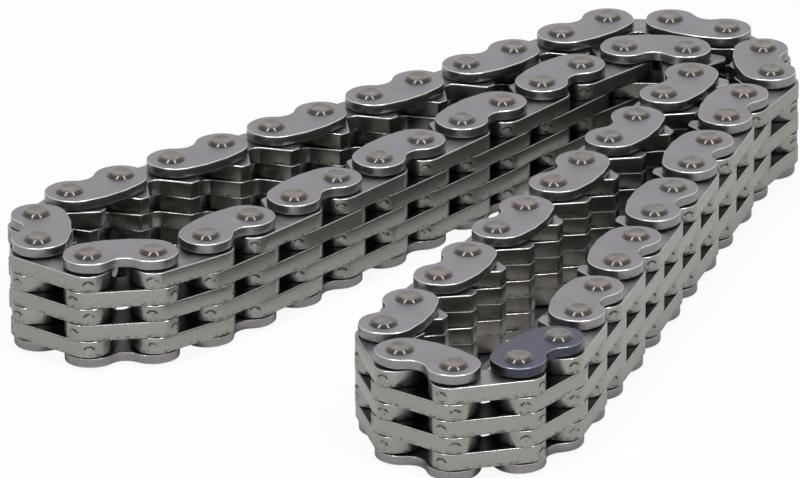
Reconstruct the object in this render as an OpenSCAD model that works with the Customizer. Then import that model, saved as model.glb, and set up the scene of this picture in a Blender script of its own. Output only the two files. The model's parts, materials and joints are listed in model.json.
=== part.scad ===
// Inverted-tooth (silent) chain for an oil pump drive: an endless loop of 58 pitches, laid flat
// in a narrow V. Outer links carry the guide plates and pins, inner links carry toothed plates
// only, and the plates of the two interleave on round pins. Millimetres, pins along Z.

/* [Chain] */
// Distance between neighbouring pins
pitch = 6.35; // [6.2:0.05:8]
// Rows of toothed plates across the chain, an odd number
row_count = 5; // [3:2:7]
// Links in the back run of the left arm, an odd number
left_arm_links = 11; // [7:2:11]
// Links in the back run of the right arm, an even number
right_arm_links = 10; // [6:2:10]

/* [Toothed plates] */
// Thickness of a toothed plate
plate_t = 1.65; // [1:0.05:2]
// Running gap between neighbouring toothed plates
plate_gap = 0.06; // [0.04:0.01:0.15]
// Radius of the plate ends about the pins
end_r = 2.4; // [1.9:0.05:2.6]
// Height of the flat back above the pin line
back_h = 2.65; // [2:0.05:2.9]
// Radius where the back turns into the ends
back_corner_r = 1.9; // [0.5:0.1:1.9]
// Depth of the tooth tips below the pin line
tooth_depth = 3.9; // [3:0.05:4.1]
// Width of the flat on each tooth tip
tooth_tip_w = 1.1; // [0.4:0.05:1.2]
// Chamfer on the corners of each tooth tip
tooth_chamfer = 0.15; // [0.05:0.05:0.2]
// Lean of the outer tooth flanks from the upright
flank_angle = 30; // [26:1:32]
// Depth of the crotch between the two teeth below the pin line
crotch_depth = 0.9; // [0.5:0.1:1.5]
// Radius at the bottom of the crotch
crotch_r = 1; // [0.6:0.1:1.2]

/* [Guide plates] */
// Thickness of a guide plate
guide_t = 0.95; // [0.7:0.05:1.5]
// Gap between a guide plate and the toothed plates beside it
guide_gap = 0.26; // [0.06:0.01:0.4]
// Radius of the guide plate ends about the pins
guide_end_r = 2.45; // [2:0.05:2.55]
// Radius of the lobes on the outside of the loop
lobe_r = 2.5; // [2:0.05:2.6]
// How far the lobe centres lie inward of the pins
lobe_in = 0.2; // [0:0.05:0.3]
// Height of the plate above the pin line at its waist
waist_h = 1.3; // [0.5:0.1:1.5]
// Radius of the cheeks round the pins on the tooth side
cheek_r = 2.7; // [2.4:0.05:2.8]
// How far the cheek centres lie inward of the pins
cheek_in = 0.35; // [0:0.05:0.4]
// How far the cheek centres lie below the pin line
cheek_drop = 0.3; // [0:0.05:0.4]
// Depth of the belly between the cheeks below the pin line
belly_h = 3.35; // [3:0.05:3.4]
// Length of the flat on the belly
belly_flat = 2.6; // [1:0.1:3]

/* [Pins] */
// Diameter of a pin between its peened heads
pin_d = 2.4; // [2:0.05:2.6]
// Diameter of the peened heads
head_d = 2.8; // [2.4:0.05:3]
// Height of a head above its guide plate
head_h = 0.4; // [0.3:0.05:0.8]
// Play of a guide plate under a head
head_play = 0.02; // [0.01:0.01:0.1]
// Width of the bevel round a head
head_bevel = 0.25; // [0.05:0.05:0.4]
// Height of that bevel
head_bevel_h = 0.2; // [0.05:0.05:0.25]
// Radial clearance of a pin in the plates that turn on it
run_clear = 0.03; // [0.02:0.01:0.08]
// Radial clearance of a pin in its guide plates
fit_clear = 0.01; // [0.01:0.01:0.03]

/* [Hidden] */
$fn = 64;
// Straight sides are drawn this much inside the rounds that they run into, so that the two merge
seam = 0.02;

// How the loop lies. The first run starts along this direction, in degrees from +X
start_angle = -14.5;
// Turns at the joints of the outer corner, the right tip and the inner corner, in degrees.
// A minus turn closes the teeth together, a plus turn bends the chain backwards.
outer_corner_angles = [-43.5, -22.5, -31, -28, -32.5, 9.5];
right_tip_angles = [-19, -39, -51, -39, -36.5, -4];
inner_corner_angles = [28.5, 83.5, 50, 5.5];
// First turn of the left tip. The four links after it close the loop.
left_tip_angle = -10.5;
// Turn at each joint of the runs between the corners, which makes them bow a little
left_back_angle = 0.1;
right_back_angle = -0.05;
right_inner_angle = 0;
left_inner_angle = -0.35;

// A run of n joints that bows by the same turn at each
function run(n, turn) = [for (i = [1:n]) turn];
turns = concat(
    run(left_arm_links - 1, left_back_angle), outer_corner_angles,
    run(right_arm_links - 1, right_back_angle), right_tip_angles,
    run(right_arm_links - 1, right_inner_angle), inner_corner_angles,
    run(left_arm_links - 3, left_inner_angle), [left_tip_angle]);

// Directions of the links up to the left tip, each turned from the one before
function add_turns(list, from, i = 0) =
    i == len(list) ? [from] : concat([from], add_turns(list, from + list[i], i + 1));
laid = add_turns(turns, start_angle);

// Sum of the unit vectors of every second link, which is what its kind leaves open
function along(list, first) =
    [for (i = [first:2:len(list) - 1]) 1] *
    [for (i = [first:2:len(list) - 1]) [cos(list[i]), sin(list[i])]];
// The two directions that bring such a sum back to zero, the more advanced turn first
function closing(open) =
    let (back = atan2(-open.y, -open.x), half = acos(norm(open) / 2))
    [back + half, back - half];
outer_close = closing(along(laid, 0));
inner_close = closing(along(laid, 1));
// Directions of all the links: even places are outer links, odd places inner links
dirs = concat(laid, [outer_close[0], inner_close[0], outer_close[1], inner_close[1]]);
count = len(dirs);

// The first pin of each link, in order round the loop
function walk(i = 0, at = [0, 0]) =
    i == count ? [] : concat([at], walk(i + 1, at + pitch * [cos(dirs[i]), sin(dirs[i])]));
pins = walk();

// Rounds of the toothed plate and the guide plate: [x, y, radius], first pin at the origin
function both_ends(list) = concat(list, [for (c = list) [pitch - c.x, c.y, c[2]]]);
plate_rounds = both_ends([
    [0, 0, end_r],
    [back_corner_r - end_r, back_h - back_corner_r, back_corner_r]]);
guide_rounds = both_ends([
    [0, 0, guide_end_r],
    [lobe_in, 0, lobe_r],
    [cheek_in, -cheek_drop, cheek_r]]);

// How far the plates reach along a direction, so that the loop is centred on the origin
function reach(d) = max([for (i = [0:count - 1], c = concat(plate_rounds, guide_rounds))
    let (a = dirs[i])
    (pins[i] + [c.x * cos(a) - c.y * sin(a), c.x * sin(a) + c.y * cos(a)]) * d + c[2]]);
middle = [reach([1, 0]) - reach([-1, 0]), reach([0, 1]) - reach([0, -1])] / 2;

// Heights in the stack, from the lower pin heads up
row_pitch = plate_t + plate_gap;
low_guide_z = head_h;
first_row_z = low_guide_z + guide_t + guide_gap;
high_guide_z = first_row_z + row_count * row_pitch - plate_gap + guide_gap;
stack_h = high_guide_z + guide_t + head_h;

// Outer tip corner of a tooth, where the flank that is tangent to the end round meets the tip
tip_x = (tooth_depth * sin(flank_angle) - end_r) / cos(flank_angle);
// Waist round, tangent to both lobes
waist_r = (pow(pitch / 2 - lobe_in, 2) + pow(waist_h, 2) - pow(lobe_r, 2)) / (2 * (lobe_r - waist_h));
// Outer link whose upper guide plate is blued as the timing mark
marked_link = 14;
steel = "silver";
guide_steel = "lightgray";
pin_steel = "rosybrown";
blued = "slategray";

// Two-digit number for a node's name
function two(n) = n < 10 ? str("0", n) : str(n);
outer_names = [for (n = [1:count / 2]) str("outer_link_", two(n))];
inner_names = [for (n = [1:count / 2]) str("inner_link_", two(n))];

// Half of a shape's outline, completed by its mirror image about the middle of the pitch
function mirrored(left) = concat(left, [for (i = [len(left) - 1:-1:0]) [pitch - left[i].x, left[i].y]]);

module pin_holes(r) {
    for (x = [0, pitch]) translate([x, 0]) circle(r);
}

module rounds(list) {
    for (c = list) translate([c.x, c.y]) circle(c[2]);
}

// Left half of the toothed plate's straight sides: back, end, flank, tip and one crotch side
function plate_side() =
    let (
        s = sin(flank_angle), c = cos(flank_angle),
        tip_out = [tip_x, -tooth_depth],
        tip_in = tip_out + [tooth_tip_w, 0],
        crotch = [pitch / 2, -crotch_depth - crotch_r],
        to = crotch - tip_in,
        lean = atan2(to.y, to.x) + asin(crotch_r / norm(to)),
        run = sqrt(to * to - crotch_r * crotch_r),
        k = tooth_chamfer)
    [
        [back_corner_r - end_r, back_h - seam],
        [seam - end_r, back_h - back_corner_r],
        [seam - end_r, 0],
        (end_r - seam) * [-c, -s],
        tip_out + k * [-s, c],
        tip_out + [k, 0],
        tip_in - [k, 0],
        tip_in + k * [cos(lean), sin(lean)],
        tip_in + run * [cos(lean), sin(lean)]
    ];

// Toothed plate: flat back outside the loop, two teeth inside it
module toothed_plate() {
    color(steel) linear_extrude(plate_t) difference() {
        union() {
            polygon(mirrored(plate_side()));
            rounds(plate_rounds);
        }
        translate([pitch / 2, -crotch_depth - crotch_r]) circle(crotch_r + seam);
        pin_holes(pin_d / 2 + run_clear);
    }
}

// Left half of the guide plate's straight sides: belly, cheek, middle of the end and waist
function guide_side() =
    let (
        waist = [pitch / 2, waist_h + waist_r],
        lobe = [lobe_in, 0],
        touch = lobe + (waist - lobe) * lobe_r / (lobe_r + waist_r),
        belly = [(pitch - belly_flat) / 2, -belly_h],
        cheek = [cheek_in, -cheek_drop],
        to = belly - cheek,
        leave = atan2(to.y, to.x) - acos(min(1, cheek_r / norm(to))))
    [belly, cheek + (cheek_r - seam) * [cos(leave), sin(leave)], [0, 0], touch, waist];

// Guide plate: waisted on the outside of the loop, with a belly on the tooth side
module guide_plate(finish) {
    color(finish) difference() {
        union() {
            linear_extrude(guide_t) polygon(mirrored(guide_side()));
            linear_extrude(guide_t) rounds(guide_rounds);
        }
        linear_extrude(guide_t) translate([pitch / 2, waist_h + waist_r]) circle(waist_r + seam);
        linear_extrude(guide_t) pin_holes(pin_d / 2 + fit_clear);
    }
}

// Pin with both heads peened over the guide plates
module pin() {
    under = head_h - head_play;
    r = pin_d / 2;
    h = head_d / 2;
    flat = h - head_bevel;
    k = head_bevel_h;
    color(pin_steel) rotate_extrude() polygon([
        [0, 0], [flat, 0], [h, k], [h, under], [r, under],
        [r, stack_h - under], [h, stack_h - under], [h, stack_h - k], [flat, stack_h], [0, stack_h]]);
}

// Stands a link's pieces on its first pin, turned along the link
module at_link(i) {
    translate([pins[i].x - middle.x, pins[i].y - middle.y, 0]) rotate([0, 0, dirs[i]]) children();
}

module toothed_rows(first) {
    for (row = [first:2:row_count - 1]) translate([0, 0, first_row_z + row * row_pitch]) toothed_plate();
}

module low_guide(finish) {
    translate([0, 0, low_guide_z]) guide_plate(finish);
}

module high_guide(finish) {
    translate([0, 0, high_guide_z]) guide_plate(finish);
}

// Outer link n: two pins, the even rows of toothed plates and, but for the marked link, two guide plates
module outer_link(n) {
    at_link(2 * n - 2) {
        toothed_rows(1);
        for (x = [0, pitch]) translate([x, 0, 0]) pin();
        if (n != marked_link) {
            low_guide(guide_steel);
            high_guide(guide_steel);
        }
    }
}

// Inner link n: the odd rows of toothed plates, turning on the pins of its two neighbours
module inner_link(n) {
    at_link(2 * n - 1) toothed_rows(0);
}

// Upper guide plate of the marked link, blued as the timing mark
module marker_plate_top() {
    at_link(2 * marked_link - 2) high_guide(blued);
}

// Lower guide plate of the marked link, left plain
module marker_plate_bottom() {
    at_link(2 * marked_link - 2) low_guide(guide_steel);
}

for (n = [1:count / 2]) outer_link(n);
for (n = [1:count / 2]) inner_link(n);
marker_plate_top();
marker_plate_bottom();
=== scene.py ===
"""Dresses the oil pump chain for a photograph: stamped plates with rolled rims, peened pins, a blued
marker plate, and the studio they lie in. Lengths are metres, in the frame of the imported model."""

import json
import math

import bmesh
import bpy
from bpy.props import FloatProperty, FloatVectorProperty, IntProperty, PointerProperty
from mathutils import Matrix, Vector
from mathutils.geometry import tessellate_polygon

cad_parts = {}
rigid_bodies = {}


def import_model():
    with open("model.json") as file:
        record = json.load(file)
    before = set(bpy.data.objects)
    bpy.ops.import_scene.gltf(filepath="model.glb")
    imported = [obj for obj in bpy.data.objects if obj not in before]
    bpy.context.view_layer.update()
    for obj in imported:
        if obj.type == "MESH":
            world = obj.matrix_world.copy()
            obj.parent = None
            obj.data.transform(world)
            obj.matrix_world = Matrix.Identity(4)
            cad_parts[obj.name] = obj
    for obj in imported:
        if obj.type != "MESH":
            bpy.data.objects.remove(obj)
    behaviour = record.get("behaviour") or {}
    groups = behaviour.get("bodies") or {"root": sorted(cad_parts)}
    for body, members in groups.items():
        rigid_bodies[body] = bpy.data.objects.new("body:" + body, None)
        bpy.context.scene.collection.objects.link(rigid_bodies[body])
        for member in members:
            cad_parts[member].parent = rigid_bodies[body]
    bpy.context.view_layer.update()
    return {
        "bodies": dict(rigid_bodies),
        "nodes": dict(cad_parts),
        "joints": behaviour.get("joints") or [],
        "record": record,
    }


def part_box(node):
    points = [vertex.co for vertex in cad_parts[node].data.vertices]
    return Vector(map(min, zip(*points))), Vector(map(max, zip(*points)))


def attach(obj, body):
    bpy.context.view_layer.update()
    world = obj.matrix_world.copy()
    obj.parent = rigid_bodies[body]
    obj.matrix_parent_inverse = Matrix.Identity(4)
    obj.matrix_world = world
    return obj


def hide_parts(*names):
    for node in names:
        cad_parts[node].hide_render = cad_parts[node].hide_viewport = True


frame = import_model()

bl_info = {
    "name": "Oil pump chain",
    "version": (1, 0, 0),
    "blender": (4, 5, 0),
    "location": "3D View > Sidebar > Chain",
    "description": "Builds the plates and pins of an inverted-tooth chain, and the studio round it",
    "category": "Object",
}

MM = 0.001


# Settings that a user would change


def length(name, description, default):
    """A length in metres, with its name and description."""
    return FloatProperty(name=name, description=description, default=default, unit="LENGTH", precision=5)


def angle(name, description, degrees):
    """An angle, given in degrees."""
    return FloatProperty(name=name, description=description, default=math.radians(degrees), subtype="ANGLE")


def power(name, description, watts):
    """A lamp's power in watts."""
    return FloatProperty(name=name, description=description, default=watts, min=0, subtype="POWER")


def linear(code):
    """Linear colour, with alpha, of an sRGB colour written as six hex digits."""
    parts = [int(code[i:i + 2], 16) / 255 for i in (0, 2, 4)]
    return tuple(p / 12.92 if p <= 0.04045 else ((p + 0.055) / 1.055) ** 2.4 for p in parts) + (1.0,)


def colour(name, description, code):
    """A colour, given as sRGB hex digits."""
    return FloatVectorProperty(
        name=name, description=description, default=linear(code)[:3], subtype="COLOR", size=3, min=0, max=1)


class ToothedPlateSettings(bpy.types.PropertyGroup):
    """Sizes and colours of the toothed plates."""

    rows: IntProperty(name="Rows", description="Rows of toothed plates across the chain", default=5, min=3)
    thickness: length("Thickness", "Thickness of a toothed plate", 1.65 * MM)
    end_radius: length("End radius", "Radius of the plate ends about the pins", 2.4 * MM)
    back_height: length("Back height", "Height of the flat back above the pin line", 2.65 * MM)
    back_corner: length("Back corner", "Radius where the back turns into the ends", 1.9 * MM)
    tooth_depth: length("Tooth depth", "Depth of the tooth tips below the pin line", 3.9 * MM)
    tip_width: length("Tip width", "Width of the flat on each tooth tip", 1.1 * MM)
    tip_chamfer: length("Tip chamfer", "Chamfer on the corners of each tooth tip", 0.15 * MM)
    flank: angle("Flank angle", "Lean of the outer tooth flanks from the upright", 30)
    crotch_depth: length("Crotch depth", "Depth of the crotch below the pin line", 0.9 * MM)
    crotch_radius: length("Crotch radius", "Radius at the bottom of the crotch", 1.0 * MM)
    bore: length("Bore radius", "Radius of the bores that turn on the pins", 1.23 * MM)
    rolled: length("Rolled rim", "Width of the rim that stamping rolls on the upper side", 0.08 * MM)
    sheared: length("Sheared rim", "Width of the sharp rim on the lower side", 0.025 * MM)
    wander: length("Rim wander", "How far a sheared rim strays from its line", 0.03 * MM)
    wander_size: length("Wander size", "Length over which a rim strays and comes back", 0.5 * MM)
    mark_angle: angle("Nick angle", "Where the nicks on the plate ends lie, from the back", 40)
    face: colour("Faces", "Outward faces of the plates", "878589")
    cut: colour("Cut edge", "Cut edge along the backs and ends", "96948F")
    # The teeth are coloured a little darker than the back
    flank_colour: colour("Teeth", "Oiled edge of the teeth", "8A8680")
    # Painted shade: the faces between the rows are coloured dark for the shade that falls between them
    between: colour("Between rows", "Oil-darkened faces between the rows", "2A2827")
    # Partly painted highlight: the rims are coloured brighter than the faces for the light they catch
    worn_and_highlight: colour("Worn rim", "Bright metal on the rims", "C4C1BD")
    # Also painted shade: it darkens the torn foot of the edge, in the crease where the rows meet
    grime_and_shade: colour("Grime", "Oily dirt in nicks and torn edges", "2B2826")


class GuidePlateSettings(bpy.types.PropertyGroup):
    """Sizes and colours of the guide plates."""

    end_radius: length("End radius", "Radius of the plate ends about the pins", 2.45 * MM)
    lobe_radius: length("Lobe radius", "Radius of the lobes on the outside of the loop", 2.5 * MM)
    lobe_in: length("Lobe offset", "How far the lobe centres lie inward of the pins", 0.2 * MM)
    waist: length("Waist height", "Height of the plate above the pin line at its waist", 1.3 * MM)
    cheek_radius: length("Cheek radius", "Radius of the cheeks on the tooth side", 2.7 * MM)
    cheek_in: length("Cheek offset", "How far the cheek centres lie inward of the pins", 0.35 * MM)
    cheek_drop: length("Cheek drop", "How far the cheek centres lie below the pin line", 0.3 * MM)
    belly: length("Belly depth", "Depth of the belly below the pin line", 3.35 * MM)
    belly_flat: length("Belly flat", "Length of the flat on the belly", 2.6 * MM)
    bore: length("Bore radius", "Radius of the bores that hold the pins", 1.21 * MM)
    rolled: length("Rolled rim", "Width of the rolled rim on the outward side", 0.08 * MM)
    sheared: length("Sheared rim", "Width of the rim on the side that faces the rows", 0.03 * MM)
    wander: length("Rim wander", "How far a tumbled rim strays from its line", 0.012 * MM)
    wander_size: length("Wander size", "Length over which a rim strays and comes back", 0.6 * MM)
    face: colour("Faces", "Satin faces of the plates", "828084")
    cut: colour("Cut edge", "Cut edge of the plates", "8A8786")
    # Partly painted highlight: the rims are coloured brighter than the faces for the light they catch
    worn_and_highlight: colour("Worn rim", "Bright metal on the rims", "D2D0D0")
    blued_face: colour("Blued face", "Face of the marker plate", "4D4F5C")
    blued_cut: colour("Blued edge", "Cut edge of the marker plate", "444650")
    # Partly painted highlight: the marker plate's rims are coloured brighter for the light they catch
    blued_worn_and_highlight: colour("Blued rim", "Rim of the marker plate", "8C8E9B")


class PinSettings(bpy.types.PropertyGroup):
    """Sizes and colours of the pins."""

    shank: length("Shank radius", "Radius of a pin between its heads", 1.2 * MM)
    head: length("Head radius", "Radius of the peened heads at their foot", 1.4 * MM)
    end: length("End radius", "Radius of the flat on a peened end", 0.98 * MM)
    dish: length("Dish", "Depth of the dish in a peened end", 0.04 * MM)
    play: length("Play", "Play of a guide plate under a head", 0.02 * MM)
    segments: IntProperty(name="Sides", description="Sides of a turned pin", default=36, min=12)
    seed: IntProperty(name="Seed", description="Seed of the pins' random turns", default=7)
    top: colour("Peened end", "Mottled end of a pin", "554C46")
    stain: colour("Stain", "Darker patches on a peened end", "3C322D")
    # Painted shade: the side of a head is coloured darker than its end
    side: colour("Side", "Side of a head", "332D2A")
    # Painted shade: the foot of a head is coloured dark where it meets its plate
    foot: colour("Foot", "Dirt where a head meets its plate", "2B2522")
    foot_edge: length("Foot edge", "Width of the broken edge at a head's foot", 0.02 * MM)


class StudioSettings(bpy.types.PropertyGroup):
    """Camera, light and floor."""

    target: FloatVectorProperty(
        name="Target", description="Point on the plane of the upper pin ends at the middle of the picture",
        default=(-21.70 * MM, -4.25 * MM, 11.71 * MM), unit="LENGTH", size=3)
    heading: angle("Heading", "Direction of view round the chain, from +X", 36.23)
    elevation: angle("Elevation", "How far the camera looks down", 23.195)
    roll: angle("Roll", "Turn of the camera about its view", -0.34)
    distance: length("Distance", "From the camera to its target", 993 * MM)
    lens: FloatProperty(
        name="Lens", description="Focal length of the lens", default=461.9, subtype="DISTANCE_CAMERA")
    paper: colour("Paper", "Colour of the floor paper", "F4F4F4")
    shade: FloatProperty(
        name="Shadow share", description="Share of the floor's light that the chain shades for the camera",
        default=0.08, min=0, max=1, subtype="FACTOR")
    mirrored_shade: FloatProperty(
        name="Mirrored shadow share", description="Share that it shades where the floor shows in the metal",
        default=1.0, min=0, max=1, subtype="FACTOR")
    ambient: FloatProperty(
        name="Ambient", description="Strength of the light from all round", default=0.1, min=0)
    key: power("Key", "Power of the overhead softbox", 0.5)
    fill: power("Fill", "Power of the low softbox by the camera", 0.78)
    strips: power("Strips", "Power of each strip light beside the camera", 1.3)


# Nodes

# Kinds of node that the finishes use most, and their usual settings
MATH = "ShaderNodeMath"
VECTOR = "ShaderNodeVectorMath"
RANGE = "ShaderNodeMapRange"
# Its input 0 is the share, 2 and 3 are its numbers and 6 and 7 its colours
MIX = "ShaderNodeMix"
BUMP = "ShaderNodeBump"
CARRIED = "ShaderNodeAttribute"
TIMES = {"operation": "MULTIPLY"}
COLOURS = {"data_type": "RGBA"}
SMOOTH = {"interpolation_type": "SMOOTHSTEP"}
# Noise lies mostly between these two values
NOISE = (0.3, 0.7)


def add(tree, kind, inputs=(), **settings):
    """Adds a node and returns its outputs. An input given as a socket is linked, any other is set."""
    made = tree.nodes.new(kind)
    for name, value in settings.items():
        setattr(made, name, value)
    for name, value in inputs.items() if isinstance(inputs, dict) else enumerate(inputs):
        if isinstance(value, bpy.types.NodeSocket):
            tree.links.new(value, made.inputs[name])
        else:
            made.inputs[name].default_value = value
    return made.outputs


def millimetres(tree, tallness=1):
    """Place on the chain in millimetres, squeezed upright so that a pattern comes out that much taller."""
    place = add(tree, "ShaderNodeTexCoord")["Object"]
    scale = (1 / MM, 1 / MM, 1 / MM / tallness)
    return add(tree, "ShaderNodeMapping", {"Vector": place, "Scale": scale})["Vector"]


def grain(tree, size, detail, tallness):
    """Noise whose lumps are about the given size in millimetres."""
    place = millimetres(tree, tallness)
    return add(tree, "ShaderNodeTexNoise", {"Vector": place, "Scale": 1 / size, "Detail": detail})["Fac"]


def own_place(tree):
    """Place on the plate or pin itself, in millimetres, as X, Y and Z."""
    place = add(tree, CARRIED, attribute_name="local_mm")["Vector"]
    return add(tree, "ShaderNodeSeparateXYZ", (place,))


def new_steel(name):
    """An empty metal material, with its tree and its shader."""
    material = bpy.data.materials.new(name)
    material.use_nodes = True
    tree = material.node_tree
    shader = tree.nodes["Principled BSDF"]
    shader.inputs["Metallic"].default_value = 1.0
    return material, tree, shader


def connect(tree, shader, **sockets):
    """Links values to the shader's inputs, whose names have spaces for underscores."""
    for name, socket in sockets.items():
        tree.links.new(socket, shader.inputs[name.replace("_", " ")])


def solid(rgb):
    """A setting's colour with alpha."""
    return (*rgb, 1.0)


# Patterns on the steel: size of the lumps in millimetres, levels of finer lumps, and height over width.
# A pixel of the picture covers about 0.1 mm. Pits and lines are finer on real steel, too fine to show in the
# render, so they are drawn as coarse as they need to show

# Patches of 2 to 3 mm, where the tumbling chips rubbed more or less
TUMBLED_PATCHES = (2.6, 3.0, 1)
# Pits that the chips leave, about 0.03 mm wide in truth
TUMBLED_PITS = (0.14, 3.0, 1)
# Lines that the punch drags along a cut edge, about 0.05 mm wide in truth
GUIDE_PUNCH_LINES = (0.25, 1.0, 14)
TOOTHED_PUNCH_LINES = (0.3, 1.0, 12)
# Patches of 2 mm, where the oil film on a hardened plate is thicker or thinner
OIL_PATCHES = (2.0, 3.0, 1)
# Pits that hardening leaves, about 0.05 mm wide in truth
HARDENED_PITS = (0.16, 3.0, 1)
# Tears where the punch broke through, a third as wide as the plate is thick
TEARS = (0.5, 2.0, 1)
# Marks of the peening tool, half as wide as the radius of a head
PEENING_MARKS = (0.7, 2.0, 1)
# Pits in a peened end, about 0.05 mm wide in truth
PEENED_PITS = (0.13, 3.0, 1)
# Lines along the drawn wire of a pin, about 0.02 mm wide in truth
WIRE_LINES = (0.18, 2.0, 14)


# Finishes


def guide_steel(name, face, cut, worn_and_highlight):
    """Steel strip, blanked and then tumbled with abrasive chips."""
    # Tumbling gives the eye satin faces with faint patches and burnished rims, which are coloured brighter
    # than the faces partly as a painted highlight. The punch gives the cut edge its upright lines. Heat
    # bluing changes only the colours
    face_tones, cut_tones = (0.93, 1.06), (0.86, 1.1)
    pitted_rim, rim_shine = (0.2, 0.55), (0.55, 1.0)
    face_roughness, cut_roughness, rim_roughness = (0.36, 0.46), 0.3, 0.22
    pit_depth, line_depth = 0.002 * MM, 0.003 * MM
    material, tree, shader = new_steel(name)
    patches = grain(tree, *TUMBLED_PATCHES)
    pits = grain(tree, *TUMBLED_PITS)
    lines = grain(tree, *GUIDE_PUNCH_LINES)
    rim = add(tree, CARRIED, attribute_name="rim")["Fac"]
    edge = add(tree, CARRIED, attribute_name="cut")["Fac"]
    tone = add(tree, RANGE, (patches, *NOISE, *face_tones), **SMOOTH)[0]
    face_now = add(tree, VECTOR, {0: tuple(face), "Scale": tone}, operation="SCALE")[0]
    tone = add(tree, RANGE, (pits, *NOISE, *cut_tones), **SMOOTH)[0]
    cut_now = add(tree, VECTOR, {0: tuple(cut), "Scale": tone}, operation="SCALE")[0]
    body = add(tree, MIX, {0: edge, 6: face_now, 7: cut_now}, **COLOURS)[2]
    # Rims brightened partly by burnishing and partly as a painted highlight
    shine = add(tree, RANGE, (pits, *pitted_rim, *rim_shine), **SMOOTH)[0]
    bright = add(tree, MATH, (rim, shine), **TIMES)[0]
    body = add(tree, MIX, {0: bright, 6: body, 7: solid(worn_and_highlight)}, **COLOURS)[2]
    roughness = add(tree, RANGE, (patches, *NOISE, *face_roughness), **SMOOTH)[0]
    roughness = add(tree, MIX, {0: edge, 2: roughness, 3: cut_roughness})[0]
    roughness = add(tree, MIX, {0: rim, 2: roughness, 3: rim_roughness})[0]
    tumbled = add(tree, BUMP, {"Height": pits, "Distance": pit_depth})[0]
    lines = add(tree, MATH, (lines, edge), **TIMES)[0]
    normal = add(tree, BUMP, {"Height": lines, "Distance": line_depth, "Normal": tumbled})[0]
    connect(tree, shader, Base_Color=body, Roughness=roughness, Normal=normal)
    return material


def nicked_ends(tree, settings, pitch, edge, place, tears, pits):
    """Where a crescent nick and specks lie on the round ends of a toothed plate."""
    # Their place is an angle about the nearer pin and a height over the plate's middle, in millimetres
    crescent_radius, crescent_line, crescent_foot = 0.4, (0.16, 0.06), (0.0, 0.15)
    crescent_gaps, speck_pits, speck_reach = (0.3, 0.48), (0.57, 0.68), (0.9, 0.5)
    nick_share = 0.9
    nick_height = nick_share * settings.thickness / MM / 2
    x, y, z = place
    before = add(tree, MATH, (x, -1.0), **TIMES)[0]
    after = add(tree, MATH, (x, pitch / MM), operation="SUBTRACT")[0]
    beyond = add(tree, MATH, (before, after), operation="MAXIMUM")[0]
    turn = add(tree, MATH, (beyond, y), operation="ARCTAN2")[0]
    turn = add(tree, MATH, (turn, settings.mark_angle), operation="SUBTRACT")[0]
    across = add(tree, MATH, (turn, settings.end_radius / MM), **TIMES)[0]
    height = add(tree, MATH, (z, nick_height), operation="SUBTRACT")[0]
    squares = [add(tree, MATH, (side, side), **TIMES)[0] for side in (across, height)]
    reach = add(tree, MATH, squares, operation="ADD")[0]
    reach = add(tree, MATH, (reach,), operation="SQRT")[0]
    off_line = add(tree, MATH, (reach, crescent_radius), operation="SUBTRACT")[0]
    off_line = add(tree, MATH, (off_line,), operation="ABSOLUTE")[0]
    line = add(tree, RANGE, (off_line, *crescent_line), **SMOOTH)[0]
    upper = add(tree, RANGE, (height, *crescent_foot), **SMOOTH)[0]
    gaps = add(tree, RANGE, (tears, *crescent_gaps), **SMOOTH)[0]
    crescent = add(tree, MATH, (line, upper), **TIMES)[0]
    crescent = add(tree, MATH, (crescent, gaps), **TIMES)[0]
    dots = add(tree, RANGE, (pits, *speck_pits), **SMOOTH)[0]
    near = add(tree, RANGE, (reach, *speck_reach), **SMOOTH)[0]
    specks = add(tree, MATH, (dots, near), **TIMES)[0]
    nicks = add(tree, MATH, (crescent, specks), operation="MAXIMUM")[0]
    return add(tree, MATH, (edge, nicks), **TIMES)[0]


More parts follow.
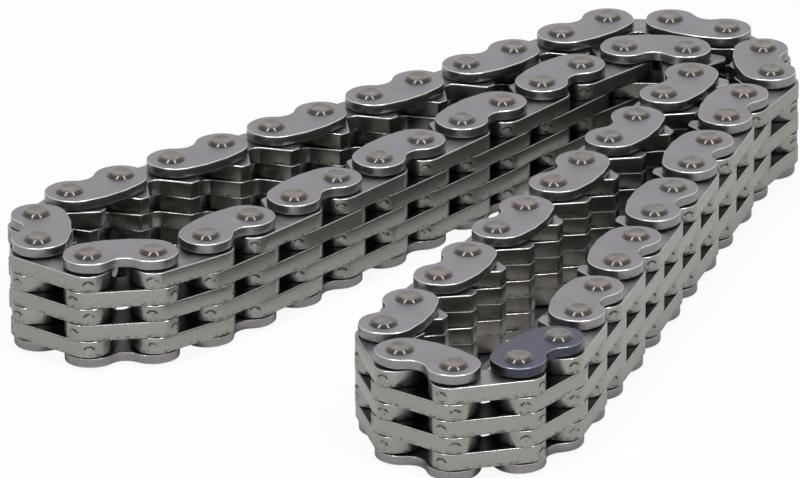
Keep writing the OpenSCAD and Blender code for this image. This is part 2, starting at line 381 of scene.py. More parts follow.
def toothed_steel(settings, pitch, top):
    """Steel strip, blanked, hardened and oiled."""
    # Blanking gives the eye an edge that is smooth above and torn at its foot, where grime and painted shade
    # for the crease between the rows darken it in patches. The teeth are coloured a little darker than the
    # back, the faces between the rows are coloured dark as painted shade, and handling leaves nicks on the
    # round ends
    half = settings.thickness / MM / 2
    tooth_start, torn_band, torn_patches = (-0.5, -1.7), (half * 0.5, half * 0.2), (0.47, 0.66)
    back_tones, tooth_tones, face_tones = (0.9, 1.08), (0.75, 1.15), (0.86, 1.08)
    painted_shade_band, torn_dirt_and_shade, nick_dirt = (top - 0.4, top - 0.1), 0.6, 0.85
    pitted_rim, rim_shine = (0.3, 0.6), (0.4, 1.0)
    face_roughness, rim_roughness = (0.32, 0.44), 0.2
    back_roughness, tooth_roughness = 0.32, 0.27
    pit_depth, line_depth, dent_depth = 0.003 * MM, 0.004 * MM, 0.018 * MM
    back_lines, tooth_lines = 1.0, 0.1
    material, tree, shader = new_steel("Sheared tooth steel")
    patches = grain(tree, *OIL_PATCHES)
    pits = grain(tree, *HARDENED_PITS)
    lines = grain(tree, *TOOTHED_PUNCH_LINES)
    tears = grain(tree, *TEARS)
    rim = add(tree, CARRIED, attribute_name="rim")["Fac"]
    edge = add(tree, CARRIED, attribute_name="cut")["Fac"]
    place = own_place(tree)
    teeth = add(tree, RANGE, (place[1], *tooth_start), **SMOOTH)[0]
    band = add(tree, RANGE, (place[2], *torn_band), **SMOOTH)[0]
    band = add(tree, MATH, (edge, band), **TIMES)[0]
    torn = add(tree, RANGE, (tears, *torn_patches), **SMOOTH)[0]
    torn = add(tree, MATH, (band, torn), **TIMES)[0]
    nicks = nicked_ends(tree, settings, pitch, edge, place, tears, pits)
    # Colours of the edge, with its torn foot darkened partly as painted shade, then of the faces, with
    # painted shade between the rows, then dirt in the nicks and rims brightened partly as a painted
    # highlight, over both
    tone = add(tree, RANGE, (pits, *NOISE, *back_tones), **SMOOTH)[0]
    back_now = add(tree, VECTOR, {0: tuple(settings.cut), "Scale": tone}, operation="SCALE")[0]
    tone = add(tree, RANGE, (patches, *NOISE, *tooth_tones), **SMOOTH)[0]
    tooth_now = add(tree, VECTOR, {0: tuple(settings.flank_colour), "Scale": tone}, operation="SCALE")[0]
    edge_now = add(tree, MIX, {0: teeth, 6: back_now, 7: tooth_now}, **COLOURS)[2]
    # The torn foot's grime is partly painted shade for the crease between the rows
    dirt = add(tree, MATH, (torn, torn_dirt_and_shade), **TIMES)[0]
    edge_now = add(tree, MIX, {0: dirt, 6: edge_now, 7: solid(settings.grime_and_shade)}, **COLOURS)[2]
    # Painted shade: faces lower than the top row's upper face take the dark colour between the rows
    height = add(tree, "ShaderNodeSeparateXYZ", (millimetres(tree),))[2]
    outward = add(tree, RANGE, (height, *painted_shade_band), **SMOOTH)[0]
    both = {6: solid(settings.between), 7: solid(settings.face)}
    face_now = add(tree, MIX, {0: outward, **both}, **COLOURS)[2]
    tone = add(tree, RANGE, (patches, *NOISE, *face_tones), **SMOOTH)[0]
    face_now = add(tree, VECTOR, {0: face_now, "Scale": tone}, operation="SCALE")[0]
    body = add(tree, MIX, {0: edge, 6: face_now, 7: edge_now}, **COLOURS)[2]
    dirt = add(tree, MATH, (nicks, nick_dirt), **TIMES)[0]
    body = add(tree, MIX, {0: dirt, 6: body, 7: solid(settings.grime_and_shade)}, **COLOURS)[2]
    # Rims brightened partly by burnishing and partly as a painted highlight
    shine = add(tree, RANGE, (pits, *pitted_rim, *rim_shine), **SMOOTH)[0]
    bright = add(tree, MATH, (rim, shine), **TIMES)[0]
    body = add(tree, MIX, {0: bright, 6: body, 7: solid(settings.worn_and_highlight)}, **COLOURS)[2]
    # Roughness of faces, edge and rims
    on_face = add(tree, RANGE, (patches, *NOISE, *face_roughness), **SMOOTH)[0]
    on_edge = add(tree, RANGE, (teeth, 0.0, 1.0, back_roughness, tooth_roughness), **SMOOTH)[0]
    roughness = add(tree, MIX, {0: edge, 2: on_face, 3: on_edge})[0]
    roughness = add(tree, MIX, {0: rim, 2: roughness, 3: rim_roughness})[0]
    # Pits, then punch lines, which wear off the teeth, then dents where the steel is torn or nicked
    normal = add(tree, BUMP, {"Height": pits, "Distance": pit_depth})[0]
    kept = add(tree, RANGE, (teeth, 0.0, 1.0, back_lines, tooth_lines), **SMOOTH)[0]
    lines = add(tree, MATH, (lines, edge), **TIMES)[0]
    lines = add(tree, MATH, (lines, kept), **TIMES)[0]
    normal = add(tree, BUMP, {"Height": lines, "Distance": line_depth, "Normal": normal})[0]
    harmed = add(tree, MATH, (nicks, torn), operation="MAXIMUM")[0]
    whole = add(tree, MATH, (1.0, harmed), operation="SUBTRACT")[0]
    normal = add(tree, BUMP, {"Height": whole, "Distance": dent_depth, "Normal": normal})[0]
    connect(tree, shader, Base_Color=body, Roughness=roughness, Normal=normal)
    return material


def peened_steel(settings, stack):
    """Drawn steel wire, hardened, oiled, and peened over at both ends."""
    # Peening gives the eye mottled brown-grey ends. The sides stay smooth under a clear film of oil, which
    # shows the strip lights as two thin streaks, and are coloured darker than the ends as painted shade.
    # Painted shade darkens the foot where a head meets its plate
    end_tones, side_tones = (0.9, 1.1), (0.8, 1.1)
    stain_marks, side_noise = (0.42, 0.68), (0.25, 0.75)
    side_roughness, end_roughness = (0.12, 0.17), (0.36, 0.5)
    mark_depth, pit_depth = 0.05 * MM, 0.012 * MM
    oil_weight, oil_roughness = 1.0, 0.1
    middle = stack / MM / 2
    end_band, foot_shade_band = (middle - 0.1, middle - 0.05), (middle - 0.3, middle - 0.39)
    material, tree, shader = new_steel("Peened pin steel")
    marks = grain(tree, *PEENING_MARKS)
    pits = grain(tree, *PEENED_PITS)
    lines = grain(tree, *WIRE_LINES)
    # Height above or below the middle of the stack, the same at both heads
    out = add(tree, MATH, (own_place(tree)[2], middle), operation="SUBTRACT")[0]
    out = add(tree, MATH, (out,), operation="ABSOLUTE")[0]
    end = add(tree, RANGE, (out, *end_band), **SMOOTH)[0]
    tone = add(tree, RANGE, (pits, *NOISE, *end_tones), **SMOOTH)[0]
    end_now = add(tree, VECTOR, {0: tuple(settings.top), "Scale": tone}, operation="SCALE")[0]
    # Painted shade: the sides take a darker colour than the ends
    tone = add(tree, RANGE, (lines, *side_noise, *side_tones), **SMOOTH)[0]
    side_now = add(tree, VECTOR, {0: tuple(settings.side), "Scale": tone}, operation="SCALE")[0]
    body = add(tree, MIX, {0: end, 6: side_now, 7: end_now}, **COLOURS)[2]
    stains = add(tree, RANGE, (marks, *stain_marks), **SMOOTH)[0]
    stains = add(tree, MATH, (end, stains), **TIMES)[0]
    body = add(tree, MIX, {0: stains, 6: body, 7: solid(settings.stain)}, **COLOURS)[2]
    # Painted shade at the foot of each head
    foot = add(tree, RANGE, (out, *foot_shade_band), **SMOOTH)[0]
    body = add(tree, MIX, {0: foot, 6: body, 7: solid(settings.foot)}, **COLOURS)[2]
    on_side = add(tree, RANGE, (lines, *NOISE, *side_roughness), **SMOOTH)[0]
    on_end = add(tree, RANGE, (marks, *NOISE, *end_roughness), **SMOOTH)[0]
    roughness = add(tree, MIX, {0: end, 2: on_side, 3: on_end})[0]
    hammered = add(tree, MATH, (marks, end), **TIMES)[0]
    normal = add(tree, BUMP, {"Height": hammered, "Distance": mark_depth})[0]
    normal = add(tree, BUMP, {"Height": pits, "Distance": pit_depth, "Normal": normal})[0]
    shader.inputs["Coat Weight"].default_value = oil_weight
    shader.inputs["Coat Roughness"].default_value = oil_roughness
    connect(tree, shader, Base_Color=body, Roughness=roughness, Normal=normal)
    return material


# Outlines, in a plate's own frame: first pin at the origin, second along +X, outside of the loop at +Y

QUARTER = math.radians(90)
# Most that one side of a drawn round turns
ROUND_STEP = math.radians(11)
# Distance in metres below which two places are the same
SAME = 1e-6


def arc(centre, radius, start, end, step=ROUND_STEP):
    """Points along a round from one angle to another, both ends included."""
    count = max(1, math.ceil(abs(end - start) / step))
    turns = [start + (end - start) * i / count for i in range(count + 1)]
    return [Vector((centre.x + radius * math.cos(a), centre.y + radius * math.sin(a))) for a in turns]


def meet(centre, radius, other, other_radius, towards):
    """Where two rounds cross, on the side of the given direction."""
    between = other - centre
    gap = between.length
    along = (radius ** 2 - other_radius ** 2 + gap ** 2) / (2 * gap)
    aside = math.sqrt(max(0.0, radius ** 2 - along ** 2))
    unit = between / gap
    side = Vector((-unit.y, unit.x))
    if side.dot(towards) < 0:
        side = -side
    return centre + along * unit + aside * side


def bearing(centre, point):
    """Angle of a point seen from a centre, from 0 to a full turn."""
    away = point - centre
    return math.atan2(away.y, away.x) % math.tau


def both_halves(left, pitch):
    """Completes the left half of an outline, from top to bottom, with its mirror image."""
    return left + [Vector((pitch - p.x, p.y)) for p in reversed(left) if abs(p.x - pitch / 2) > SAME]


def toothed_outline(s, pitch):
    """Outline of a toothed plate."""
    sine, cosine = math.sin(s.flank), math.cos(s.flank)
    corner = Vector((s.back_corner - s.end_radius, s.back_height - s.back_corner))
    tip_out = Vector(((s.tooth_depth * sine - s.end_radius) / cosine, -s.tooth_depth))
    tip_in = tip_out + Vector((s.tip_width, 0))
    crotch = Vector((pitch / 2, -s.crotch_depth - s.crotch_radius))
    to = crotch - tip_in
    lean = math.atan2(to.y, to.x) + math.asin(s.crotch_radius / to.length)
    along = Vector((math.cos(lean), math.sin(lean)))
    k = s.tip_chamfer
    left = arc(corner, s.back_corner, QUARTER, 2 * QUARTER)
    left += arc(Vector((0, 0)), s.end_radius, 2 * QUARTER, 2 * QUARTER + s.flank)
    left += [tip_out + k * Vector((-sine, cosine)), tip_out + Vector((k, 0)), tip_in - Vector((k, 0))]
    left += [tip_in + k * along]
    left += arc(crotch, s.crotch_radius, lean + QUARTER, QUARTER)
    return both_halves(left, pitch)


def guide_outline(s, pitch):
    """Outline of a guide plate."""
    pin, lobe = Vector((0, 0)), Vector((s.lobe_in, 0))
    cheek = Vector((s.cheek_in, -s.cheek_drop))
    flat = pitch / 2 - s.lobe_in
    waist_radius = (flat ** 2 + s.waist ** 2 - s.lobe_radius ** 2) / (2 * (s.lobe_radius - s.waist))
    waist = Vector((pitch / 2, s.waist + waist_radius))
    belly = Vector(((pitch - s.belly_flat) / 2, -s.belly))
    to = belly - cheek
    leave = math.atan2(to.y, to.x) - math.acos(min(1, s.cheek_radius / to.length))
    shoulder = meet(pin, s.end_radius, lobe, s.lobe_radius, Vector((0, 1)))
    jowl = meet(pin, s.end_radius, cheek, s.cheek_radius, Vector((-1, -1)))
    left = arc(waist, waist_radius, 3 * QUARTER, bearing(waist, lobe))
    left += arc(lobe, s.lobe_radius, bearing(lobe, waist), bearing(lobe, shoulder))[1:]
    left += arc(pin, s.end_radius, bearing(pin, shoulder), bearing(pin, jowl))[1:]
    left += arc(cheek, s.cheek_radius, bearing(cheek, jowl), leave % math.tau)[1:]
    left += [belly]
    return both_halves(left, pitch)


# Meshes

# Least share by which a sharp corner of an inset outline moves in, so that it doesn't run away
SHARPEST = 0.4
# Steps in a rolled rim, and its height over its width
RIM_STEPS = 3
RIM_HEIGHT = 1.6
BORE_SIDES = 20
# Turns above which an edge is drawn sharp on a plate and on a pin
PLATE_SHARP = math.radians(20)
PIN_SHARP = math.radians(33)
# Upward share of a normal above which a face is flat
FLAT = 0.999


def inset(outline, depth):
    """The outline moved inwards by a depth."""
    moved = []
    for i, point in enumerate(outline):
        before = (point - outline[i - 1]).normalized()
        after = (outline[(i + 1) % len(outline)] - point).normalized()
        first, second = Vector((-before.y, before.x)), Vector((-after.y, after.x))
        share = max(SHARPEST, 1 + first.dot(second))
        moved.append(point + (first + second) * depth / share)
    return moved


def rim_profile(width):
    """Inset, height from the face and share of each ring on a rolled rim."""
    turns = [QUARTER * i / RIM_STEPS for i in range(RIM_STEPS + 1)]
    return [
        (width * (1 - math.sin(a)), RIM_HEIGHT * width * (1 - math.cos(a)), math.sin(2 * a)) for a in turns]


def stamped_plate(name, outline, bores, bore_radius, thickness, low_rim, high_rim):
    """A plate with rolled rims and bores. It carries its own millimetres, its rims and its cut faces."""
    mesh = bmesh.new()
    local = mesh.verts.layers.float_vector.new("local_mm")
    rim_layer = mesh.verts.layers.float.new("rim")
    cut = mesh.faces.layers.float.new("cut")

    def ring(points, height, share):
        """Corners along a line at one height, with their share of the rim."""
        made = []
        for p in points:
            v = mesh.verts.new((p.x, p.y, height))
            v[local] = (p.x / MM, p.y / MM, height / MM)
            v[rim_layer] = share
            made.append(v)
        return made

    def walls(lower, upper, inwards, rolled):
        """Faces between two rings."""
        count = len(lower)
        for i in range(count):
            j = (i + 1) % count
            corners = [lower[i], lower[j], upper[j], upper[i]]
            face = mesh.faces.new(corners[::-1] if inwards else corners)
            face[cut] = 0.0 if rolled else 1.0
            face.smooth = True

    low = rim_profile(low_rim)
    high = [(depth, thickness - height, share) for depth, height, share in reversed(rim_profile(high_rim))]
    rings = [ring(inset(outline, depth), height, share) for depth, height, share in low + high]
    for k in range(len(rings) - 1):
        walls(rings[k], rings[k + 1], False, k != len(low) - 1)
    bore_lines = [arc(centre, bore_radius, 0, math.tau, math.tau / BORE_SIDES)[:-1] for centre in bores]
    low_bores = [ring(line, 0, 0) for line in bore_lines]
    high_bores = [ring(line, thickness, 0) for line in bore_lines]
    for low, high in zip(low_bores, high_bores):
        walls(low, high, True, False)
    for boundary, holes, upwards in ((rings[-1], high_bores, True), (rings[0], low_bores, False)):
        loops = [boundary] + holes
        flat = [v for loop in loops for v in loop]
        for triangle in tessellate_polygon([[v.co for v in loop] for loop in loops]):
            face = mesh.faces.new([flat[i] for i in triangle])
            face.normal_update()
            if (face.normal.z > 0) != upwards:
                face.normal_flip()
    mesh.normal_update()
    # Sharp are the borders of the flat faces and the upright corners
    for e in mesh.edges:
        level = e.verts[0].co.z == e.verts[1].co.z
        flat_faces = sum(abs(f.normal.z) > FLAT for f in e.link_faces)
        e.smooth = not (flat_faces == 1 or (not level and e.calc_face_angle(0) > PLATE_SHARP))
    return finish_mesh(name, mesh)


def turned_pin(name, profile, segments):
    """A pin turned from its profile of radius and height, closed at both ends."""
    mesh = bmesh.new()
    local = mesh.verts.layers.float_vector.new("local_mm")

    def point(radius, height, turn):
        """A corner at a radius, height and turn about the axis."""
        v = mesh.verts.new((radius * math.cos(turn), radius * math.sin(turn), height))
        v[local] = v.co / MM
        return v

    turns = [math.tau * i / segments for i in range(segments)]
    rings = [[point(radius, height, a) for a in turns] for radius, height in profile[1:-1]]
    ends = [point(0, profile[0][1], 0), point(0, profile[-1][1], 0)]
    for i in range(segments):
        j = (i + 1) % segments
        mesh.faces.new([ends[0], rings[0][j], rings[0][i]])
        mesh.faces.new([rings[-1][i], rings[-1][j], ends[1]])
        for low, high in zip(rings, rings[1:]):
            mesh.faces.new([low[i], low[j], high[j], high[i]])
    mesh.normal_update()
    for f in mesh.faces:
        f.smooth = True
    for e in mesh.edges:
        e.smooth = e.calc_face_angle(0) < PIN_SHARP
    return finish_mesh(name, mesh)


def finish_mesh(name, mesh):
    """Turns a bmesh into an object that other objects repeat."""
    data = bpy.data.meshes.new(name)
    mesh.to_mesh(data)
    mesh.free()
    made = bpy.data.objects.new(name, data)
    bpy.context.scene.collection.objects.link(made)
    return made


# Repeats


def repeat_tree():
    """Geometry nodes that repeat a plate or pin along a line, put it on its link and roughen its rims."""
    tree = bpy.data.node_groups.get("Repeat along a link")
    if tree:
        return tree
    tree = bpy.data.node_groups.new("Repeat along a link", "GeometryNodeTree")
    face = tree.interface
    for name, kind in (
            ("Piece", "NodeSocketObject"), ("Count", "NodeSocketInt"), ("First", "NodeSocketVector"),
            ("Step", "NodeSocketVector"), ("Place", "NodeSocketVector"), ("Turn", "NodeSocketVector"),
            ("Random turn", "NodeSocketFloat"), ("Rim wander", "NodeSocketFloat"),
            ("Wander size", "NodeSocketFloat"), ("Seed", "NodeSocketInt"),
            ("Finish", "NodeSocketMaterial")):
        face.new_socket(name, in_out="INPUT", socket_type=kind)
    face.new_socket("Geometry", in_out="OUTPUT", socket_type="NodeSocketGeometry")
    given = add(tree, "NodeGroupInput")
    line = add(
        tree, "GeometryNodeMeshLine",
        {"Count": given["Count"], "Start Location": given["First"], "Offset": given["Step"]})["Mesh"]
    piece = add(tree, "GeometryNodeObjectInfo", {"Object": given["Piece"], "As Instance": True})["Geometry"]
    chance = add(
        tree, "FunctionNodeRandomValue", {"Max": given["Random turn"], "Seed": given["Seed"]},
        data_type="FLOAT")["Value"]
    spin = add(tree, "ShaderNodeCombineXYZ", {"Z": chance})[0]
    copies = add(
        tree, "GeometryNodeInstanceOnPoints", {"Points": line, "Instance": piece, "Rotation": spin})[0]
    placed = add(
        tree, "GeometryNodeTransform",
        {"Geometry": copies, "Translation": given["Place"], "Rotation": given["Turn"]})[0]
    real = add(tree, "GeometryNodeRealizeInstances", {"Geometry": placed})[0]
    # Noise between 0 and 1 moves each rim by up to its wander either way
    fineness = add(tree, MATH, (1.0, given["Wander size"]), operation="DIVIDE")[0]
    noise = add(tree, "ShaderNodeTexNoise", {"Scale": fineness, "Detail": 1.0})["Color"]
    centred = add(tree, VECTOR, (noise, (0.5, 0.5, 0.5)), operation="SUBTRACT")[0]
    rim = add(tree, "GeometryNodeInputNamedAttribute", {"Name": "rim"}, data_type="FLOAT")[0]
    reach = add(tree, MATH, (given["Rim wander"], 2.0), **TIMES)[0]
    reach = add(tree, MATH, (rim, reach), **TIMES)[0]
    offset = add(tree, VECTOR, {0: centred, "Scale": reach}, operation="SCALE")[0]
    strayed = add(tree, "GeometryNodeSetPosition", {"Geometry": real, "Offset": offset})[0]
    painted = add(tree, "GeometryNodeSetMaterial", {"Geometry": strayed, "Material": given["Finish"]})[0]
    add(tree, "NodeGroupOutput", {"Geometry": painted})
    return tree


def repeated(name, values):
    """An object whose geometry nodes repeat a piece, with the named inputs set."""
    tree = repeat_tree()
    holder = bpy.data.objects.new(name, bpy.data.meshes.new(name))
    bpy.context.scene.collection.objects.link(holder)
    modifier = holder.modifiers.new("Repeat", "NODES")
    modifier.node_group = tree
    for item in tree.interface.items_tree:
        if item.in_out == "INPUT" and item.name in values:
            modifier[item.identifier] = values[item.name]
    return holder


def settle(holders, material):
    """Turns each holder's result into a plain mesh that rides on its body and replaces its nodes."""
    bpy.context.view_layer.update()
    graph = bpy.context.evaluated_depsgraph_get()
    plain_mesh = bpy.data.meshes.new_from_object
    meshes = [
        plain_mesh(holder.evaluated_get(graph), preserve_all_data_layers=True, depsgraph=graph)
        for holder, _, _ in holders]
    for (holder, body, nodes), mesh in zip(holders, meshes):
        holder.modifiers.clear()
        blank = holder.data
        holder.data = mesh
        mesh.name = holder.name
        bpy.data.meshes.remove(blank)
        if not mesh.vertices:
            raise RuntimeError(f"{holder.name} came out empty")
        mesh.materials.clear()
        mesh.materials.append(material)
        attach(holder, body)
        if nodes:
            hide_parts(*nodes)


# The frame's own places

# Depth in which a link's highest points belong to its pins' ends
HEAD_BAND = 0.01 * MM


def link_name(index):
    """Name of the link at a place round the loop: outer links stand at even places."""
    return f"{'inner' if index % 2 else 'outer'}_link_{index // 2 + 1:02d}"


LINKS = [link_name(i) for i in range(sum("link" in name for name in frame["bodies"]))]
OUTER = LINKS[0::2]
INNER = LINKS[1::2]


def pin_places():
    """The first pin of each link, round the loop. The open pivot is found from its outer link's heads."""
    places = {}
    for joint in frame["joints"]:
        pair = LINKS.index(joint["parent"]), LINKS.index(joint["child"])
        first, second = sorted(pair)
        index = first if (first, second) == (0, len(LINKS) - 1) else second
        places[index] = Vector(joint["pos_m"][:2])
    for index in range(len(LINKS)):
        if index not in places:
            link = index if index % 2 == 0 else index - 1
            known = places[link] if index == link + 1 else places[link + 1]
            points = [v.co for v in frame["nodes"][LINKS[link]].data.vertices]
            top = max(p.z for p in points)
            heads = [p for p in points if p.z > top - HEAD_BAND]
            xs, ys = [p.x for p in heads], [p.y for p in heads]
            middle = Vector(((min(xs) + max(xs)) / 2, (min(ys) + max(ys)) / 2))
            places[index] = 2 * middle - known
    return [places[i] for i in range(len(LINKS))]


PINS = pin_places()
PITCH = sum((PINS[i] - PINS[i - 1]).length for i in range(len(PINS))) / len(PINS)
LOW_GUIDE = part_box("marker_plate_bottom")
HIGH_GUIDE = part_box("marker_plate_top")
ROW_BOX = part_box(INNER[0])
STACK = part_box(OUTER[0])[1].z
RIDERS = frame["record"]["behaviour"]["bodies"]
MARKED = next(body for body in frame["bodies"] if "marker_plate_top" in RIDERS[body])


def bores():
    """Centres of a plate's two bores."""
    return [Vector((0, 0)), Vector((PITCH, 0))]


def link_values(link, piece, material, changes):
    """Inputs of the repeat nodes that put a piece on its link once, with the given changes."""
    index = LINKS.index(link)
    start, end = PINS[index], PINS[(index + 1) % len(PINS)]
    heading = math.atan2(end.y - start.y, end.x - start.x)
    return {
        "Piece": piece, "Count": 1, "First": (0.0, 0.0, 0.0), "Step": (0.0, 0.0, 0.0),
        "Place": (start.x, start.y, 0.0), "Turn": (0.0, 0.0, heading), "Random turn": 0.0,
        "Rim wander": 0.0, "Wander size": 1.0 * MM, "Seed": 0, "Finish": material, **changes}


# Operators

# Share of the end's radius and share of the dish's depth, from the middle of a pin's end to its rim
END_SHARES = ((0, 1), (0.55, 0.8), (0.85, 0.25), (1, 0))
# Share of the way out from there to the head's radius and share of the way down to its foot. The end rolls
# over into a side that leans in, as far as the strip lights show in it
SIDE_SHARES = ((0.3, 0.04), (0.47, 0.14), (0.9, 0.84), (1, 0.97))


class CHAIN_OT_toothed_plates(bpy.types.Operator):
    """Build the rows of toothed plates of every link"""

    bl_idname = "chain.toothed_plates"
    bl_label = "Toothed plates"

    def execute(self, context):
        s = context.scene.chain_toothed_plates
        plate = stamped_plate(
            "toothed_plate", toothed_outline(s, PITCH), bores(), s.bore, s.thickness, s.sheared, s.rolled)
        steel = toothed_steel(s, PITCH, ROW_BOX[1].z / MM)
        apart = (ROW_BOX[1].z - ROW_BOX[0].z - s.thickness) / (s.rows - 1)

        def every_second_row(link, first):
            """Rows of one link's plates, from the given row."""
            values = link_values(link, plate, steel, {
                "Count": len(range(first, s.rows, 2)), "First": (0.0, 0.0, ROW_BOX[0].z + first * apart),
                "Step": (0.0, 0.0, 2 * apart), "Rim wander": s.wander, "Wander size": s.wander_size})
            return repeated(f"{link}_toothed_plates", values)

        inner = [(every_second_row(n, 0), n, [n]) for n in INNER]
        outer = [(every_second_row(n, 1), n, []) for n in OUTER]
        settle(inner, steel)
        settle(outer, steel)
        bpy.data.objects.remove(plate)
        return {"FINISHED"}


class CHAIN_OT_guide_plates(bpy.types.Operator):
    """Build the guide plates of every outer link. The marked link's upper one is blued"""

    bl_idname = "chain.guide_plates"
    bl_label = "Guide plates"

    def execute(self, context):
        s = context.scene.chain_guide_plates
        thickness = HIGH_GUIDE[1].z - HIGH_GUIDE[0].z
        outline = guide_outline(s, PITCH)
        upper, lower = [
            stamped_plate(name, outline, bores(), s.bore, thickness, *rims)
            for name, rims in (
                ("upper_guide", (s.sheared, s.rolled)), ("lower_guide", (s.rolled, s.sheared)))]
        plain = guide_steel("Tumbled guide steel", s.face, s.cut, s.worn_and_highlight)
        blued = guide_steel("Heat-blued guide steel", s.blued_face, s.blued_cut, s.blued_worn_and_highlight)

        def placed(name, link, plate, base, material):
            """One guide plate on its link, with its lower face at the given height."""
            return repeated(name, link_values(link, plate, material, {
                "First": (0.0, 0.0, base), "Rim wander": s.wander, "Wander size": s.wander_size}))

        high, low = HIGH_GUIDE[0].z, LOW_GUIDE[0].z
        others = [n for n in OUTER if n != MARKED]
        plates = [(placed(f"{n}_upper_guide", n, upper, high, plain), n, []) for n in others]
        plates += [(placed(f"{n}_lower_guide", n, lower, low, plain), n, []) for n in others]
        under_mark = placed("marked_link_lower_guide", MARKED, lower, low, plain)
        plates += [(under_mark, MARKED, ["marker_plate_bottom"])]
        mark = placed("marked_link_blued_guide", MARKED, upper, high, blued)
        settle(plates, plain)
        settle([(mark, MARKED, ["marker_plate_top"])], blued)
        bpy.data.objects.remove(upper)
        bpy.data.objects.remove(lower)
        return {"FINISHED"}


class CHAIN_OT_pins(bpy.types.Operator):
    """Build the two pins of every outer link"""

    bl_idname = "chain.pins"
    bl_label = "Pins"

    def execute(self, context):
        s = context.scene.chain_pins
        under = LOW_GUIDE[0].z - s.play
        slope = s.head - s.end
        low = [(s.end * out, s.dish * deep) for out, deep in END_SHARES]
        low += [(s.end + slope * out, under * down) for out, down in SIDE_SHARES]
        low += [(s.head - s.foot_edge, under), (s.shank, under)]
        profile = low + [(radius, STACK - height) for radius, height in reversed(low)]
        pin = turned_pin("pin", profile, s.segments)
        steel = peened_steel(s, STACK)
        pairs = []
        for n in OUTER:
            values = link_values(n, pin, steel, {
                "Count": 2, "Step": (PITCH, 0.0, 0.0), "Random turn": math.tau,
                "Seed": s.seed + LINKS.index(n)})
            pairs.append((repeated(f"{n}_pins", values), n, [n]))
        settle(pairs, steel)
        bpy.data.objects.remove(pin)
        return {"FINISHED"}


# Studio

# Each lamp's name, azimuth from the camera and elevation in degrees, distance, width and height in metres,
# and the setting of its power. Each strip light gives one of the two streaks on every pin
LAMPS = (
    ("overhead", 150, 62, 0.6, 0.5, 0.4, "key"),
    ("fill", 0, 20, 0.7, 0.5, 0.4, "fill"),
    ("strip_left", -44, 54, 0.5, 0.05, 0.6, "strips"),
    ("strip_right", 42, 54, 0.5, 0.05, 0.6, "strips"),
)
# Width of the picture on the camera's sensor, in millimetres
SENSOR = 36
# How near and how far the camera sees, and half the side of the floor, in metres
NEAR, FAR = 0.05, 20
FLOOR_HALF = 3.0
WHITE = (1, 1, 1, 1)


def studio_object(name, data, matrix):
    """Puts a camera, light or backdrop in the studio."""
    made = bpy.data.objects.new(name, data)
    made.matrix_world = matrix
    bpy.context.scene.collection.objects.link(made)
    return made


def softbox(name, azimuth, elevation, distance, width, height, power):
    """An area light that faces the chain from an azimuth and elevation, in degrees."""
    light = bpy.data.lights.new(name, "AREA")
    light.shape = "RECTANGLE"
    light.size, light.size_y, light.energy = width, height, power
    a, e = math.radians(azimuth), math.radians(elevation)
    away = Vector((math.cos(a) * math.cos(e), math.sin(a) * math.cos(e), math.sin(e)))
    turn = away.to_track_quat("Z", "Y").to_matrix().to_4x4()
    return studio_object(name, light, Matrix.Translation(away * distance) @ turn)


def background_shader(tree, lit, white):
    """Mixes a lit shader with plain white for what the camera and the metal see."""
    path = add(tree, "ShaderNodeLightPath")
    seen = add(tree, MATH, (path["Is Camera Ray"], path["Is Glossy Ray"]), operation="MAXIMUM")[0]
    seen = add(tree, MATH, (seen, path["Is Transmission Ray"]), operation="MAXIMUM")[0]
    return add(tree, "ShaderNodeMixShader", (seen, lit, white))[0]


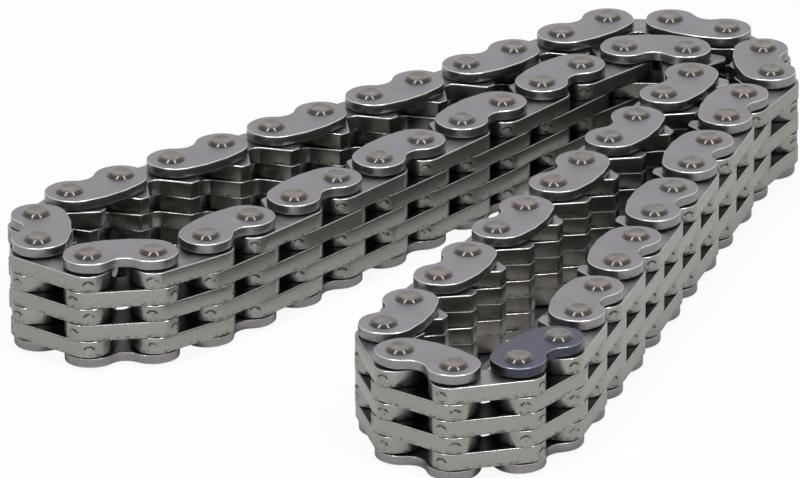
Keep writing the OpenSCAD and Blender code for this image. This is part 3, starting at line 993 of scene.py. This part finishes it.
class CHAIN_OT_studio(bpy.types.Operator):
    """Set the camera, the lights, the surroundings and the paper floor"""

    bl_idname = "chain.studio"
    bl_label = "Studio"

    def execute(self, context):
        s = context.scene.chain_studio
        self.place_camera(context, s)
        self.hang_lights(s)
        self.surround(context, s)
        self.lay_floor(s)
        context.scene.view_settings.view_transform = "Standard"
        return {"FINISHED"}

    def place_camera(self, context, s):
        """Aims the camera at its target, from the photograph's heading and elevation."""
        h, e = s.heading, s.elevation
        look = Vector((math.cos(h) * math.cos(e), math.sin(h) * math.cos(e), -math.sin(e)))
        right = Vector((math.sin(h), -math.cos(h), 0))
        turn = Matrix((right, right.cross(look), -look)).transposed() @ Matrix.Rotation(s.roll, 3, "Z")
        camera = bpy.data.cameras.new("camera")
        camera.lens = s.lens
        camera.sensor_width = SENSOR
        camera.clip_start = NEAR
        camera.clip_end = FAR
        place = Vector(s.target) - look * s.distance
        made = studio_object("camera", camera, Matrix.Translation(place) @ turn.to_4x4())
        context.scene.camera = made

    def hang_lights(self, s):
        """Hangs the lamps, all turned with the camera."""
        camera_azimuth = math.degrees(s.heading) + 180
        for name, azimuth, elevation, distance, width, height, setting in LAMPS:
            softbox(name, camera_azimuth + azimuth, elevation, distance, width, height, getattr(s, setting))

    def surround(self, context, s):
        """Gives the object a weak light from all round, and the camera and the metal a white one to see."""
        world = context.scene.world or bpy.data.worlds.new("surroundings")
        context.scene.world = world
        world.use_nodes = True
        tree = world.node_tree
        tree.nodes.clear()
        soft = add(tree, "ShaderNodeBackground", {"Color": WHITE, "Strength": s.ambient})[0]
        white = add(tree, "ShaderNodeBackground", {"Color": WHITE, "Strength": 1.0})[0]
        add(tree, "ShaderNodeOutputWorld", {"Surface": background_shader(tree, soft, white)})

    def lay_floor(self, s):
        """Lays matt paper, which shows white to the camera but for the chain's faint shadow."""
        data = bpy.data.meshes.new("paper_floor")
        corners = [(FLOOR_HALF * x, FLOOR_HALF * y, 0) for x, y in ((-1, -1), (1, -1), (1, 1), (-1, 1))]
        data.from_pydata(corners, [], [(0, 1, 2, 3)])
        paper = bpy.data.materials.new("Matt white paper")
        paper.use_nodes = True
        tree = paper.node_tree
        tree.nodes.clear()
        lit = add(tree, "ShaderNodeBsdfDiffuse", {"Color": solid(s.paper)})[0]
        white = add(tree, "ShaderNodeEmission", {"Color": WHITE, "Strength": 1.0})[0]
        glossy = add(tree, "ShaderNodeLightPath")["Is Glossy Ray"]
        share = add(tree, RANGE, (glossy, 0.0, 1.0, s.shade, s.mirrored_shade), **SMOOTH)[0]
        seen = add(tree, "ShaderNodeMixShader", (share, white, lit))[0]
        add(tree, "ShaderNodeOutputMaterial", {"Surface": background_shader(tree, lit, seen)})
        data.materials.append(paper)
        floor = studio_object("paper_floor", data, Matrix.Identity(4))


class CHAIN_PT_panel(bpy.types.Panel):
    """Lists the chain's operators and settings in the sidebar"""

    bl_idname = "CHAIN_PT_panel"
    bl_label = "Oil pump chain"
    bl_space_type = "VIEW_3D"
    bl_region_type = "UI"
    bl_category = "Chain"

    def draw(self, context):
        for operator in OPERATORS:
            self.layout.operator(operator.bl_idname)
        for name, settings in SETTINGS.items():
            box = self.layout.box()
            for field in settings.__annotations__:
                box.prop(getattr(context.scene, name), field)


SETTINGS = {
    "chain_toothed_plates": ToothedPlateSettings,
    "chain_guide_plates": GuidePlateSettings,
    "chain_pins": PinSettings,
    "chain_studio": StudioSettings,
}
OPERATORS = (CHAIN_OT_studio, CHAIN_OT_toothed_plates, CHAIN_OT_guide_plates, CHAIN_OT_pins)
CLASSES = (*SETTINGS.values(), *OPERATORS, CHAIN_PT_panel)


def register():
    for made in CLASSES:
        bpy.utils.register_class(made)
    for name, settings in SETTINGS.items():
        setattr(bpy.types.Scene, name, PointerProperty(type=settings))


def unregister():
    for name in SETTINGS:
        delattr(bpy.types.Scene, name)
    for made in reversed(CLASSES):
        bpy.utils.unregister_class(made)


def main():
    """Builds the studio and the chain."""
    register()
    bpy.ops.chain.studio()
    bpy.ops.chain.toothed_plates()
    bpy.ops.chain.guide_plates()
    bpy.ops.chain.pins()
    bpy.context.view_layer.update()


if __name__ == "__main__":
    main()
